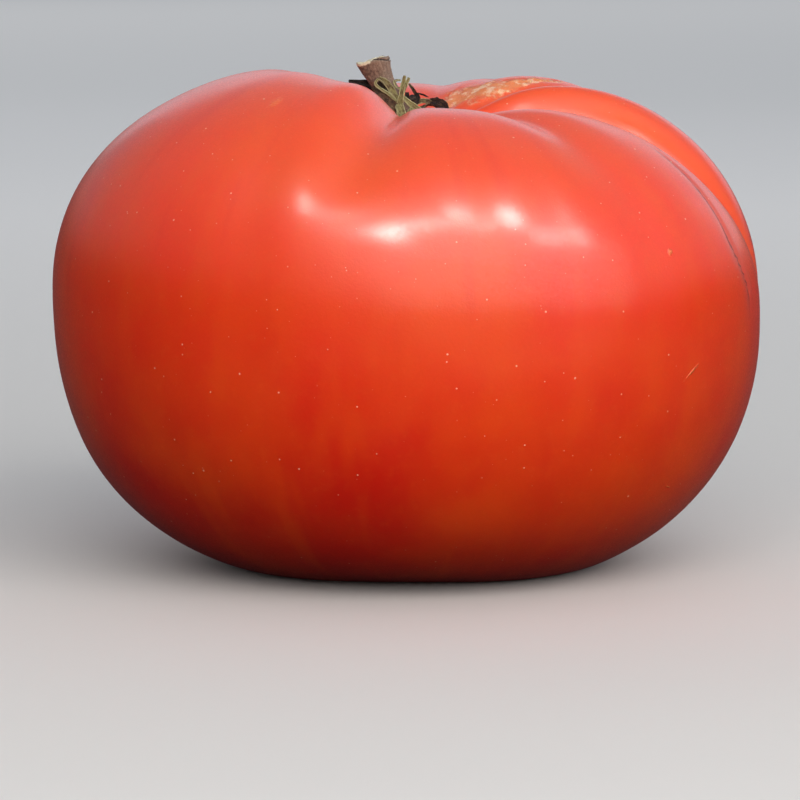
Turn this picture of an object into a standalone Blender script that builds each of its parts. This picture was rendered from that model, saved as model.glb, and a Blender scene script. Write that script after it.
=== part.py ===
"""A ripe ribbed tomato as picked: the fruit, its withered calyx and a dry stub of stem.

Metres, +Z up. The tomato stands on its blossom end at z = 0, and its best side faces -Y.
An azimuth is measured from -Y towards +X, and a polar angle from the stem end down.
"""

import math

import bmesh
import bpy
import numpy as np
from mathutils import Matrix, Vector
from mathutils.bvhtree import BVHTree
from mathutils.geometry import interpolate_bezier

MM = 0.001

# Fruit: the smooth body before its furrows and its hollow
HALF_WIDTH = 51.1 * MM
HALF_DEPTH = 48.0 * MM
WIDEST_HEIGHT = 40.0 * MM
WIDEST_LEAN = 0.6 * MM  # how much lower the widest line runs on the +X side than in the middle
TOP_FULLNESS = (2.22, 2.25, 2.12)  # superellipse power on the -X side, at front and back, and
BOTTOM_FULLNESS = (2.48, 2.65, 2.40)  # on the +X side: 2 is an ellipse, and more is squarer
BOTTOM_SAG = (3.0 * MM, 1.0 * MM, 3.9 * MM)  # how far the round underside would reach below the
# table, had it not flattened, on the same three sides
FLAT_BLEND = 0.5 * MM

# Shoulders: (azimuth in degrees, height of the body there before furrows and hollow)
SHOULDERS = [
    (-62, 74.5 * MM),
    (-27, 73.4 * MM),
    (-4, 70.5 * MM),
    (24, 70.4 * MM),
    (41, 69.8 * MM),
    (56, 70.9 * MM),
    (76, 70.9 * MM),
    (93, 75.9 * MM),
    (108, 74.9 * MM),
    (125, 76.1 * MM),
    (146, 74.6 * MM),
    (168, 73.5 * MM),
    (190, 73.2 * MM),
    (222, 73.0 * MM),
    (245, 72.9 * MM),
    (270, 74.6 * MM),
]
CROWN_HEIGHT = 72.6 * MM  # the body's height over the hollow, where the shoulders meet
SHOULDERS_MEET = 22.0  # polar angle in degrees within which the shoulders even out

# Hollow round the stem, wider towards the back right
HOLLOW_DEPTH = 10.6 * MM
HOLLOW_WIDTH = 14.0 * MM
HOLLOW_LEAN = 3.0 * MM
HOLLOW_LEANS_TO = 130.0
HOLLOW_POWER = 1.7
SADDLE_AZIMUTH = 102.0  # the hollow runs out into a low saddle between two lobes
SADDLE_HALF_WIDTH = 26.0
SADDLE_WIDENS = 4.8 * MM

# Furrows between the lobes: azimuth, depth, half-width in degrees, polar angles where the
# furrow is fully there and where it has died out, and its drift in degrees per radian
FURROWS = [
    (-10, 3.1 * MM, 7, 30, 72, -8),
    (11, 0.4 * MM, 5, 57, 112, 0),
    (26, 0.4 * MM, 5, 57, 112, 0),
    (41, 1.5 * MM, 6, 28, 62, -4),
    (45, 0.5 * MM, 6, 62, 112, 0),
    (80, 3.6 * MM, 4.6, 32, 108, 8),
    (108, 1.3 * MM, 5, 32, 105, 0),
    (166, 0.7 * MM, 9, 34, 105, 0),
    (205, 1.6 * MM, 9, 34, 105, 0),
    (246, 2.0 * MM, 9, 34, 105, 0),
    (332, 0.5 * MM, 6, 57, 110, 0),
]
FURROW_FADE = 55.0  # degrees over which a furrow dies out
FURROW_RISE = 26.0  # degrees over which it deepens
FURROW_ANCHOR = 45.0  # polar angle at which a furrow lies at its stated azimuth

# Blossom end: a shallow dimple inside the flat ring that the tomato stands on
DIMPLE_RADIUS = 7.0 * MM
DIMPLE_DEPTH = 1.0 * MM

FRUIT_SEGMENTS = 120
FRUIT_RINGS = 42

# Calyx: a hub in the hollow and the withered sepals that grow from it
HUB_RADIUS = 2.1 * MM
HUB_HALF_HEIGHT = 1.0 * MM
HUB_LIFT = 0.75 * MM  # gap under the hub
SEPAL_THICKNESS = 0.65 * MM
SEPAL_STEPS = 10
SEPAL_CRUMPLE = 0.2 * MM  # how far a withered blade waves off its curve
SEPAL_RAGGED = 0.16  # share by which its width comes and goes
SEPAL_ROOT = (1.2 * MM, 1.75 * MM)  # reach and height above the hollow's floor

# Each sepal: azimuth, (reach, rise above the skin) of its middle, shoulder and tip, sideways
# drift of the tip, half-width, lengthwise fold, and twist in degrees at the tip
SEPALS = {
    "fork_left": (-14, (2.6, 3.0), (3.0, 5.4), (2.9, 7.2), -0.4, 0.75, 0.25, 20),
    "fork_right": (-4, (2.6, 3.0), (3.0, 5.2), (2.8, 6.9), 0.7, 0.75, 0.25, -25),
    "front_right": (44, (2.8, 4.4), (4.6, 3.8), (6.5, 1.6), 0.4, 0.80, 0.30, 15),
    "front_small": (16, (2.6, 1.9), (3.6, 2.5), (4.8, 1.6), 0.0, 0.65, 0.20, 0),
    "right_arch": (98, (3.0, 3.9), (5.0, 4.6), (6.9, 1.8), 0.3, 1.05, 0.40, 30),
    "back_curl": (138, (2.8, 4.9), (4.6, 5.4), (5.4, 2.6), -0.4, 0.65, 0.25, 45),
    "back": (188, (3.4, 2.6), (6.4, 2.6), (9.6, 2.0), 0.8, 1.05, 0.35, 20),
    "back_left": (-112, (3.6, 3.2), (6.4, 3.2), (9.6, 2.1), 0.5, 1.05, 0.35, -25),
    "front_left": (-38, (3.2, 3.4), (4.6, 4.8), (5.7, 4.8), -0.2, 1.05, 0.60, -30),
}

# Stem: its middle line as a curve, and its radius along that line
STEM_GAP = 0.3 * MM
STEM_LEAN = [(0.1, 0.0, 1.4), (-3.0, -0.1, 5.0), (-5.0, -0.3, 8.1)]  # millimetres from its foot
STEM_RADII = [
    (0.00, 1.35 * MM),
    (0.14, 1.15 * MM),
    (0.36, 1.30 * MM),
    (0.58, 1.70 * MM),
    (0.78, 2.25 * MM),
    (0.89, 2.62 * MM),
    (0.93, 2.42 * MM),
    (0.96, 2.62 * MM),
    (1.00, 2.50 * MM),
]
STEM_END_TURN = 15.0  # degrees by which the broken end is turned back towards level
STEM_SIDES = 24
STEM_DEPTH_RATIO = 0.92  # its section is a little flatter from front to back
STEM_RIDGES = 5
STEM_RIDGE_SHARE = 0.05
END_RIM = 0.72  # share of the radius where the broken end starts to sink
END_CORE = 0.40
END_SINK = 0.5 * MM

MATERIALS = {  # base colour, roughness
    "fruit": ((0.72, 0.050, 0.012), 0.30),
    "calyx": ((0.13, 0.125, 0.035), 0.75),
    "stem": ((0.19, 0.115, 0.070), 0.85),
}


def clear_scene():
    for old in list(bpy.data.objects):
        bpy.data.objects.remove(old, do_unlink=True)


def eased(value, start, end):
    """0 before start, 1 after end, and a smooth S between them."""
    share = np.clip((value - start) / (end - start), 0, 1)
    return share * share * (3 - 2 * share)


def shoulder_height(azimuth):
    """The body's height at each azimuth: an S from each shoulder to the next, all the way round."""
    known = sorted((degrees % 360, height) for degrees, height in SHOULDERS)
    known.append((known[0][0] + 360, known[0][1]))
    places, heights = np.array(known).T
    turned = (np.degrees(azimuth) - places[0]) % 360 + places[0]
    before = np.searchsorted(places, turned, side="right") - 1
    share = eased(turned, places[before], places[before + 1])
    return heights[before] + (heights[before + 1] - heights[before]) * share


def furrow_depth(azimuth, polar):
    depth = np.zeros_like(azimuth)
    for middle, deepest, half_width, there, gone, drift in FURROWS:
        line = np.radians(middle) + np.radians(drift) * (polar - np.radians(FURROW_ANCHOR))
        across = (azimuth - line + np.pi) % (2 * np.pi) - np.pi
        profile = (1 + (across / np.radians(half_width)) ** 2) ** -1.5
        rise = eased(polar, np.radians(there - FURROW_RISE), np.radians(there))
        fade = 1 - eased(polar, np.radians(gone - FURROW_FADE), np.radians(gone))
        depth += deepest * profile * rise * fade
    return depth


def round_the_axis(azimuth, sides):
    """A value that goes from front and back to each side, given as (-X side, front, +X side)."""
    left, front, right = sides
    return front + (np.where(azimuth > 0, right, left) - front) * np.sin(azimuth) ** 2


def skin(azimuth, polar):
    """Points of the fruit's skin for arrays of azimuths and polar angles."""
    sine, cosine = np.sin(polar), np.cos(polar)
    upper = cosine > 0
    fullness = (round_the_axis(azimuth, TOP_FULLNESS), round_the_axis(azimuth, BOTTOM_FULLNESS))
    power = np.where(upper, *fullness)
    swell = (np.abs(sine) ** power + np.abs(cosine) ** power) ** (-1 / power)
    outline = 1 / np.hypot(np.sin(azimuth) / HALF_WIDTH, np.cos(azimuth) / HALF_DEPTH)
    widest = WIDEST_HEIGHT - WIDEST_LEAN * np.sin(azimuth)

    meeting = eased(polar, 0, np.radians(SHOULDERS_MEET))
    top = CROWN_HEIGHT + (shoulder_height(azimuth) - CROWN_HEIGHT) * meeting
    reach = np.where(upper, top - widest, widest + round_the_axis(azimuth, BOTTOM_SAG))

    furrow = furrow_depth(azimuth, polar)
    radius = (outline * swell - furrow) * sine
    height = widest + reach * swell * cosine - np.where(upper, furrow * cosine, 0)

    width = HOLLOW_WIDTH + HOLLOW_LEAN * np.cos(azimuth - np.radians(HOLLOW_LEANS_TO))
    from_saddle = (np.degrees(azimuth) - SADDLE_AZIMUTH + 180) % 360 - 180
    width = width + SADDLE_WIDENS * np.exp(-((from_saddle / SADDLE_HALF_WIDTH) ** 2))
    hollow = HOLLOW_DEPTH * np.exp(-((radius / width) ** HOLLOW_POWER))
    height = np.where(upper, height - hollow, flattened(height))
    dimple = DIMPLE_DEPTH * np.clip(1 - (radius / DIMPLE_RADIUS) ** 2, 0, 1) ** 2
    height = np.where(upper, height, height + dimple)
    return np.stack([radius * np.sin(azimuth), -radius * np.cos(azimuth), height], axis=-1)


def flattened(height):
    """Heights with the table's flat at z = 0, and a soft turn where it ends."""
    turning = (np.clip(height, -FLAT_BLEND, FLAT_BLEND) + FLAT_BLEND) ** 2 / (4 * FLAT_BLEND)
    return np.where(height < FLAT_BLEND, turning, height)


def finished(name, mesh_or_bmesh):
    """An object of that name with its own material, shaded smooth."""
    mesh = mesh_or_bmesh
    if isinstance(mesh_or_bmesh, bmesh.types.BMesh):
        mesh = bpy.data.meshes.new(name)
        mesh_or_bmesh.to_mesh(mesh)
        mesh_or_bmesh.free()
    mesh.shade_smooth()
    colour, roughness = MATERIALS[name]
    material = bpy.data.materials.new(name)
    material.use_nodes = True
    shader = material.node_tree.nodes["Principled BSDF"]
    shader.inputs["Base Color"].default_value = (*colour, 1)
    shader.inputs["Roughness"].default_value = roughness
    shader.inputs["Metallic"].default_value = 0
    mesh.materials.append(material)
    made = bpy.data.objects.new(name, mesh)
    bpy.context.collection.objects.link(made)
    return made


def fruit():
    """The fruit: a sphere whose vertices move to the skin, centred over the origin."""
    shape = bmesh.new()
    bmesh.ops.create_uvsphere(shape, u_segments=FRUIT_SEGMENTS, v_segments=FRUIT_RINGS, radius=1)
    ball = np.array([vertex.co for vertex in shape.verts])
    points = skin(np.arctan2(ball[:, 0], -ball[:, 1]), np.arccos(np.clip(ball[:, 2], -1, 1)))
    points[:, :2] -= (points[:, :2].min(axis=0) + points[:, :2].max(axis=0)) / 2
    for vertex, point in zip(shape.verts, points):
        vertex.co = point
    return finished("fruit", shape)


def height_finder(body):
    """A function that gives the height of the body's upper surface at x, y."""
    tree = BVHTree.FromPolygons(
        [vertex.co for vertex in body.data.vertices],
        [polygon.vertices for polygon in body.data.polygons],
    )
    above = WIDEST_HEIGHT * 3

    def height(x, y):
        return tree.ray_cast(Vector((x, y, above)), Vector((0, 0, -1)))[0].z

    return height


def ribbon_section(half_width, fold):
    """A sepal's cross-section: across and up, a thin blade whose two edges fold upwards."""
    half = SEPAL_THICKNESS / 2
    across = (-1, -0.5, 0, 0.5, 1)
    upper = [(half_width * u, fold * u * u + half) for u in across]
    lower = [(half_width * u, fold * u * u - half) for u in reversed(across)]
    return upper + lower


def skinned(rings):
    """A closed mesh through rings of equal numbers of points, each end filled with one face."""
    shape = bmesh.new()
    rows = [[shape.verts.new(point) for point in ring] for ring in rings]
    count = len(rows[0])
    for row, after in zip(rows, rows[1:]):
        for i in range(count):
            shape.faces.new((row[i], row[i - 1], after[i - 1], after[i]))
    shape.faces.new(rows[0])
    shape.faces.new(rows[-1][::-1])
    bmesh.ops.recalc_face_normals(shape, faces=shape.faces)
    return shape


def sepal_path(azimuth, points, drift, skin_height, floor):
    """Places along a sepal from its root in the hub to its tip."""
    out = Vector((math.sin(azimuth), -math.cos(azimuth), 0))
    side = Vector((math.cos(azimuth), math.sin(azimuth), 0))
    knots = [out * SEPAL_ROOT[0] + Vector((0, 0, floor + SEPAL_ROOT[1]))]
    for share, (reach, rise) in zip((0.25, 0.6, 1.0), points):
        place = out * reach * MM + side * drift * share * MM
        place.z = skin_height(place.x, place.y) + rise * MM
        knots.append(place)
    return interpolate_bezier(*knots, SEPAL_STEPS), side


def sepal(name, skin_height, floor):
    azimuth, middle, shoulder, tip, drift, half_width, fold, twist = SEPALS[name]
    places, side = sepal_path(
        math.radians(azimuth), (middle, shoulder, tip), drift, skin_height, floor
    )
    rings = []
    for i, place in enumerate(places):
        share = i / (len(places) - 1)
        wave = math.sin(3 * math.pi * share + azimuth)
        along = (places[min(i + 1, len(places) - 1)] - places[max(i - 1, 0)]).normalized()
        turn = math.radians(twist) * share
        across = (side - along * side.dot(along)).normalized()
        up = along.cross(across)
        leafy = (0.8 + 0.4 * math.sin(math.pi * share)) * (1 - 0.45 * share**3)
        leafy *= 1 + SEPAL_RAGGED * wave
        middle_point = place + up * SEPAL_CRUMPLE * wave * share
        ring = []
        for u, v in ribbon_section(half_width * leafy * MM, fold * share * MM):
            turned_u = u * math.cos(turn) - v * math.sin(turn)
            turned_v = u * math.sin(turn) + v * math.cos(turn)
            ring.append(middle_point + across * turned_u + up * turned_v)
        rings.append(ring)
    return skinned(rings)


def calyx(skin_height):
    """The calyx: the hub and its sepals joined in one solid."""
    floor = skin_height(0, 0)
    hub = bmesh.new()
    bmesh.ops.create_uvsphere(hub, u_segments=24, v_segments=12, radius=1)
    bmesh.ops.scale(hub, vec=(HUB_RADIUS, HUB_RADIUS, HUB_HALF_HEIGHT), verts=hub.verts)
    lift = floor + HUB_LIFT + HUB_HALF_HEIGHT
    bmesh.ops.translate(hub, vec=(0, 0, lift), verts=hub.verts)
    joined = finished("calyx", hub)

    sepals = bpy.data.collections.new("sepals")
    bpy.context.scene.collection.children.link(sepals)
    for name in SEPALS:
        mesh = bpy.data.meshes.new(name)
        shape = sepal(name, skin_height, floor)
        shape.to_mesh(mesh)
        shape.free()
        sepals.objects.link(bpy.data.objects.new(name, mesh))

    fuse = joined.modifiers.new("fuse", "BOOLEAN")
    fuse.operation = "UNION"
    fuse.operand_type = "COLLECTION"
    fuse.collection = sepals
    fuse.solver = "EXACT"
    graph = bpy.context.evaluated_depsgraph_get()
    joined.data = bpy.data.meshes.new_from_object(joined.evaluated_get(graph))
    joined.modifiers.clear()
    for blade in list(sepals.objects):
        bpy.data.objects.remove(blade)
    bpy.data.collections.remove(sepals)
    joined.data.shade_smooth()
    return joined


def stem(skin_height):
    """The stub of stem: a leaning, flaring stalk whose broken end sinks in the middle."""
    foot = Vector((0, 0, skin_height(0, 0) + HUB_LIFT + 2 * HUB_HALF_HEIGHT + STEM_GAP))
    knots = [foot] + [foot + Vector(offset) * MM for offset in STEM_LEAN]
    shares, radii = zip(*STEM_RADII)
    steps = 4 * len(STEM_RADII)
    places = interpolate_bezier(*knots, steps + 1)
    rings = []
    for share, radius in STEM_RADII:
        i = round(share * steps)
        along = (places[min(i + 1, steps)] - places[max(i - 1, 0)]).normalized()
        along = Matrix.Rotation(math.radians(STEM_END_TURN) * share**4, 3, "Y") @ along
        rings.append(stem_ring(places[i], along if i else Vector((0, 0, 1)), radius))
    for share, sink in ((END_RIM, 0), (END_CORE, END_SINK)):
        rings.append(stem_ring(places[-1] - along * sink, along, radii[-1] * share))
    return finished("stem", skinned(rings))


def stem_ring(place, along, radius):
    """One ring of the stalk, square to its run, with shallow lengthwise ridges."""
    right = Vector((0, 1, 0)).cross(along).normalized()
    back = along.cross(right)
    ring = []
    for i in range(STEM_SIDES):
        angle = 2 * math.pi * i / STEM_SIDES
        ridged = radius * (1 + STEM_RIDGE_SHARE * math.sin(STEM_RIDGES * angle))
        ring.append(
            place
            + right * ridged * math.cos(angle)
            + back * ridged * STEM_DEPTH_RATIO * math.sin(angle)
        )
    return ring


def main():
    clear_scene()
    body = fruit()
    skin_height = height_finder(body)
    calyx(skin_height)
    stem(skin_height)


main()
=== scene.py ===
# %% [markdown]
# # A ripe ribbed tomato
# The tomato is a fruit, a withered calyx and a dry stub of stem. The three CAD nodes give the
# places and sizes. Here each one gets a finer mesh and its own material: the skin is refined
# from the CAD surface, and the calyx and the stem are modelled again, leaf by leaf.

# %% Load the frame
import math

import bmesh
import bpy
import numpy as np
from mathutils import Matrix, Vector, noise
from mathutils.bvhtree import BVHTree


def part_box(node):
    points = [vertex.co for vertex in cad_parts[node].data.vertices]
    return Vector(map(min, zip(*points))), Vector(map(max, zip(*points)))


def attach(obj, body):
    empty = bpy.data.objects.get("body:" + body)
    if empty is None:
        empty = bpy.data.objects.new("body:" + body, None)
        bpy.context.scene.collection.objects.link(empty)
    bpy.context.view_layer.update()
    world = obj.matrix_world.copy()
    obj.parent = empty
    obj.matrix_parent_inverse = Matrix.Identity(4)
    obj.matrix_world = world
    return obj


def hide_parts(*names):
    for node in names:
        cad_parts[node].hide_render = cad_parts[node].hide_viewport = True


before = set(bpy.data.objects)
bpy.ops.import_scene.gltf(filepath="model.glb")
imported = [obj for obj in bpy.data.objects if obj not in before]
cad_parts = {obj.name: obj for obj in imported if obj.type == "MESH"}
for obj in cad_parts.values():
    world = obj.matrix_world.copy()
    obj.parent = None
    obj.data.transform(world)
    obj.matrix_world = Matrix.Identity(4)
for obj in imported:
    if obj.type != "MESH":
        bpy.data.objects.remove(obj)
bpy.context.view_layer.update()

MM = 0.001
fruit_low, fruit_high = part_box("fruit")
print("fruit", [round(side / MM, 1) for side in fruit_high - fruit_low], "mm")

# %% [markdown]
# ## Helpers for every piece
# A piece starts as a bmesh from an operator. Its vertices are then read as one numpy array,
# moved together, and written back, which is much faster than a loop over 80,000 of them.


# %% Make a piece and move its vertices
def new_piece(name, shape, cad_node):
    """An object at the origin that rides with the tomato and stands for a CAD node."""
    mesh = bpy.data.meshes.new(name)
    shape.to_mesh(mesh)
    shape.free()
    mesh.shade_smooth()
    piece = bpy.data.objects.new(name, mesh)
    bpy.context.collection.objects.link(piece)
    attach(piece, "root")
    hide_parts(cad_node)
    return piece


def read_vectors(collection, attribute):
    """One row of three numbers for each item, such as each vertex's place."""
    values = np.empty(len(collection) * 3, np.float32)
    collection.foreach_get(attribute, values)
    return values.reshape(-1, 3).astype(float)


def write_places(mesh, places):
    mesh.vertices.foreach_set("co", places.astype(np.float32).ravel())
    mesh.update()


def store(mesh, name, values):
    """A number, or a vector, for each vertex, which a material reads by name."""
    kind, field = ("FLOAT", "value") if values.ndim == 1 else ("FLOAT_VECTOR", "vector")
    layer = mesh.attributes.new(name, kind, "POINT")
    layer.data.foreach_set(field, values.astype(np.float32).ravel())


def eased(value, start, end):
    """0 before start, 1 after end, and a smooth S between them."""
    share = np.clip((value - start) / (end - start), 0, 1)
    return share * share * (3 - 2 * share)


def fractal(places, size, octaves=4, seed=0.0):
    """Smooth noise from about -1 to 1 at each place, whose largest lumps are size across."""
    shift = Vector((seed, seed * 1.7, -seed))
    return np.array(
        [noise.fractal(Vector(place) / size + shift, 1.0, 2.0, octaves) for place in places]
    )


# %% [markdown]
# ## The skin
# A tomato's skin is a thin glossy film over soft flesh, so every dent shows in its reflections.
# The CAD surface has the lobes, the furrows and the hollow, but its facets would show. Its
# triangles are joined back into squares, because Catmull-Clark subdivision stays smooth on
# squares and makes ripples on triangles. Two levels give steps of about 0.7 mm.

# %% Refine the fruit's surface
WELD = 0.001 * MM
REFINE_LEVELS = 2
FLAT_ENOUGH = math.radians(40)  # two triangles become a square only if they turn less than this
SQUARE_ENOUGH = math.radians(60)


def merged_copy(cad_node):
    """A bmesh of a CAD node with its loose triangles joined into one skin of squares."""
    shape = bmesh.new()
    shape.from_mesh(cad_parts[cad_node].data)
    bmesh.ops.remove_doubles(shape, verts=shape.verts, dist=WELD)
    bmesh.ops.join_triangles(
        shape,
        faces=shape.faces,
        angle_face_threshold=FLAT_ENOUGH,
        angle_shape_threshold=SQUARE_ENOUGH,
    )
    return shape


def with_modifiers_applied(piece):
    """Bake the piece's modifiers into its mesh, so that single vertices can be moved."""
    graph = bpy.context.evaluated_depsgraph_get()
    mesh = bpy.data.meshes.new_from_object(piece.evaluated_get(graph))
    piece.modifiers.clear()
    piece.data = mesh
    return mesh


fruit_shape = merged_copy("fruit")
fruit_tree = BVHTree.FromBMesh(fruit_shape)
skin = new_piece("skin", fruit_shape, "fruit")
refine = skin.modifiers.new("refine", "SUBSURF")
refine.levels = refine.render_levels = REFINE_LEVELS
skin_mesh = with_modifiers_applied(skin)
skin_places = read_vectors(skin_mesh.vertices, "co")
skin_normals = read_vectors(skin_mesh.vertex_normals, "vector")
print("skin", len(skin_mesh.polygons), "squares")

# %% [markdown]
# Every mark on a fruit is placed by its direction round the stem and by how far down from the
# stem it lies, as on a globe. So each vertex first gets its azimuth, measured from the front
# towards the right, and its polar angle, measured from the stem end.

# %% Where each vertex lies on the fruit
HALF_WIDTH = (fruit_high.x - fruit_low.x) / 2
WIDEST_HEIGHT = 40 * MM
TOP_HEIGHT = 74 * MM

across_x, across_y, height = skin_places.T
reach = np.hypot(across_x, across_y)
azimuth = np.degrees(np.arctan2(across_x, -across_y))
polar = np.degrees(
    np.arctan2(reach / HALF_WIDTH, (height - WIDEST_HEIGHT) / (TOP_HEIGHT - WIDEST_HEIGHT))
)
upper = height > WIDEST_HEIGHT
print("azimuth", azimuth.min().round(), "to", azimuth.max().round(), "degrees")

# %% [markdown]
# The deep fold on the right is where two lobes of the ovary grew against each other. The CAD
# furrow is round at the bottom, and the real one ends in a sharp line, so a narrow cut follows
# the bottom of the furrow.

# %% Cut the crease
CREASE_AZIMUTH = 80
CREASE_DRIFT = 8  # degrees of azimuth for each radian down from the shoulder
CREASE_SHOULDER = 45
CREASE_DEPTH = 0.7 * MM
CREASE_HALF_WIDTH = 0.75 * MM
CREASE_DEEPENS = (22, 40)  # polar angles in degrees between which the cut comes in
CREASE_FADES = (78, 100)

crease_line = CREASE_AZIMUTH + CREASE_DRIFT * np.radians(polar - CREASE_SHOULDER)
crease_turn = (azimuth - crease_line + 180) % 360 - 180
crease_across = np.radians(crease_turn) * reach
crease_there = eased(polar, *CREASE_DEEPENS) * (1 - eased(polar, *CREASE_FADES))
crease_there = crease_there * (abs(crease_turn) < 90)
crease_cut = CREASE_DEPTH * np.exp(-((crease_across / CREASE_HALF_WIDTH) ** 2)) * crease_there
store(skin_mesh, "crease_across", np.clip(crease_across / MM, -10, 10))
store(skin_mesh, "crease_there", crease_there)

LIP_AZIMUTH = 66.8  # the front lip of the fold has a hairline of its own, near the lobe's edge
LIP_DEPTH = 0.28 * MM
LIP_HALF_WIDTH = 0.45 * MM
LIP_DRIFT = 4  # degrees of azimuth that it gains further down
LIP_DEEPENS = (44, 58)
LIP_FADES = (84, 96)

lip_turn = azimuth - LIP_AZIMUTH - LIP_DRIFT * eased(polar, 74, 90)
lip_across = np.radians(lip_turn) * reach
lip_there = eased(polar, *LIP_DEEPENS) * (1 - eased(polar, *LIP_FADES)) * (abs(lip_turn) < 60)
crease_cut += LIP_DEPTH * np.exp(-((lip_across / LIP_HALF_WIDTH) ** 2)) * lip_there
store(skin_mesh, "lip_across", np.clip(lip_across / MM, -10, 10))
store(skin_mesh, "lip_there", lip_there)
print("crease", round(crease_cut.max() / MM, 2), "mm deep")

# %% [markdown]
# The corky scar on the back shoulder is where the skin split while the fruit grew, and healed
# with dry cork. It runs out from the hollow and narrows. The field is 1 along its middle and 0
# outside it, and the material breaks its edge up with noise.

# %% The corky scar
SCAR = [  # x, y and half-width in millimetres, from the hollow outwards
    (5.2, 8.4, 1.0),
    (7.6, 9.4, 2.6),
    (10.4, 9.0, 3.3),
    (13.0, 7.8, 2.2),
    (16.0, 9.2, 1.2),
    (19.6, 11.7, 0.9),
    (22.6, 13.6, 0.5),
]
SCAR_RELIEF = 0.22 * MM


def along_scar(places):
    """How near each place is to the scar's middle line, from 0 outside to 1 on it."""
    best = np.zeros(len(places))
    for start, end in zip(SCAR, SCAR[1:]):
        a, b = np.array(start[:2]) * MM, np.array(end[:2]) * MM
        share = np.clip((places[:, :2] - a) @ (b - a) / ((b - a) @ (b - a)), 0, 1)
        away = np.linalg.norm(places[:, :2] - a - share[:, None] * (b - a), axis=1)
        half_width = (start[2] + (end[2] - start[2]) * share) * MM
        best = np.maximum(best, 1 - away / (2 * half_width))
    return best


scar = along_scar(skin_places) * upper
scar_lumps = fractal(skin_places, 1.6 * MM, 3, seed=4)
store(skin_mesh, "scar", scar)
print("scar reaches", int((scar > 0.5).sum()), "vertices")

# %% [markdown]
# Last come the small departures that keep a fruit from looking turned on a lathe: shallow
# swellings all over, and short puckers that run into the hollow round the calyx. They are
# small, but the gloss shows them.

# %% Swellings and puckers
SWELLING = 0.10 * MM
SWELLING_SIZE = 16 * MM
PUCKER = 0.16 * MM
PUCKERS = 26

swellings = SWELLING * fractal(skin_places, SWELLING_SIZE, 2, seed=1) * (reach > 5 * MM)
pucker_wave = np.sin(np.radians(azimuth) * PUCKERS + 3 * fractal(skin_places, 9 * MM, 2, seed=7))
pucker_zone = eased(reach, 1 * MM, 4 * MM) * (1 - eased(reach, 6 * MM, 12 * MM)) * upper
relief = (
    swellings * eased(height, 1 * MM, 6 * MM)
    + PUCKER * pucker_wave * pucker_zone
    + SCAR_RELIEF * (scar_lumps - 0.3) * eased(scar, 0.25, 0.6)
    - crease_cut
)
write_places(skin_mesh, skin_places + skin_normals * relief[:, None])
print("relief", round(relief.min() / MM, 2), "to", round(relief.max() / MM, 2), "mm")

# %% [markdown]
# ## Blades and stalks on a path
# Sepals and stem are both soft things that grew along a line. Each starts flat or straight from
# an operator, with its length running from 0 to 1, and is then laid along a smooth path through
# a few named places.


# %% A smooth path and its directions
def smooth_path(points, samples=200):
    """Places along a Catmull-Rom curve through the points, given in millimetres."""
    knots = np.array(points, float) * MM
    knots = np.vstack([2 * knots[0] - knots[1], knots, 2 * knots[-1] - knots[-2]])
    places = []
    for before, start, end, after in zip(knots, knots[1:], knots[2:], knots[3:]):
        for t in np.linspace(0, 1, samples // (len(points) - 1), endpoint=False):
            places.append(
                0.5
                * (
                    2 * start
                    + (end - before) * t
                    + (2 * before - 5 * start + 4 * end - after) * t**2
                    + (3 * start - before - 3 * end + after) * t**3
                )
            )
    places.append(knots[-2])
    return np.array(places)


def unit(vectors):
    return vectors / np.linalg.norm(vectors, axis=-1, keepdims=True)


def on_path(points, share, facing):
    """Middle, sideways and facing directions of the path at each share of its length."""
    places = smooth_path(points)
    lengths = np.append(0, np.cumsum(np.linalg.norm(np.diff(places, axis=0), axis=1)))
    lengths /= lengths[-1]
    tangents = np.gradient(places, lengths, axis=0)

    def sampled(values):
        return np.stack([np.interp(share, lengths, values[:, i]) for i in range(3)], axis=1)

    middle, along = sampled(places), unit(sampled(tangents))
    side = unit(np.cross(along, np.array(facing, float)))
    return middle, side, np.cross(side, along)


print("path of", len(smooth_path([(0, 0, 0), (1, 0, 0), (2, 0, 1)])), "places")

# %% [markdown]
# ## The stem
# The stub broke at the knuckle, the weak joint where a tomato comes off the truss. It is thin at
# the fruit and flares towards the knuckle. Its bark has dry lengthwise fibres. Part of the
# knuckle's cap still sits on the right of the broken end, over a dark crack, and on the left
# only a pale jagged rim of pith is left. A tube of 72 sides and 70 rings can carry all of it.

# %% A tube ready to be laid along a path
STEM_SIDES = 72
STEM_RINGS = 70
END_INSETS = 7


def upright_tube(sides, rings, insets):
    """A closed tube of squares, 1 in radius and 1 high, whose top carries rings of squares."""
    shape = bmesh.new()
    bmesh.ops.create_cone(
        shape, cap_ends=True, segments=sides, radius1=1, radius2=1, depth=1
    )
    bmesh.ops.translate(shape, verts=shape.verts, vec=(0, 0, 0.5))
    uprights = [e for e in shape.edges if abs(e.verts[0].co.z - e.verts[1].co.z) > 0.5]
    bmesh.ops.subdivide_edges(shape, edges=uprights, cuts=rings - 1, use_grid_fill=True)
    top = max(shape.faces, key=lambda face: face.calc_center_median().z)
    for _ in range(insets):
        bmesh.ops.inset_region(shape, faces=[top], thickness=1 / (insets + 1))
    return shape


stem_shape = upright_tube(STEM_SIDES, STEM_RINGS, END_INSETS)
print("stem tube", len(stem_shape.faces), "faces")

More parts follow.
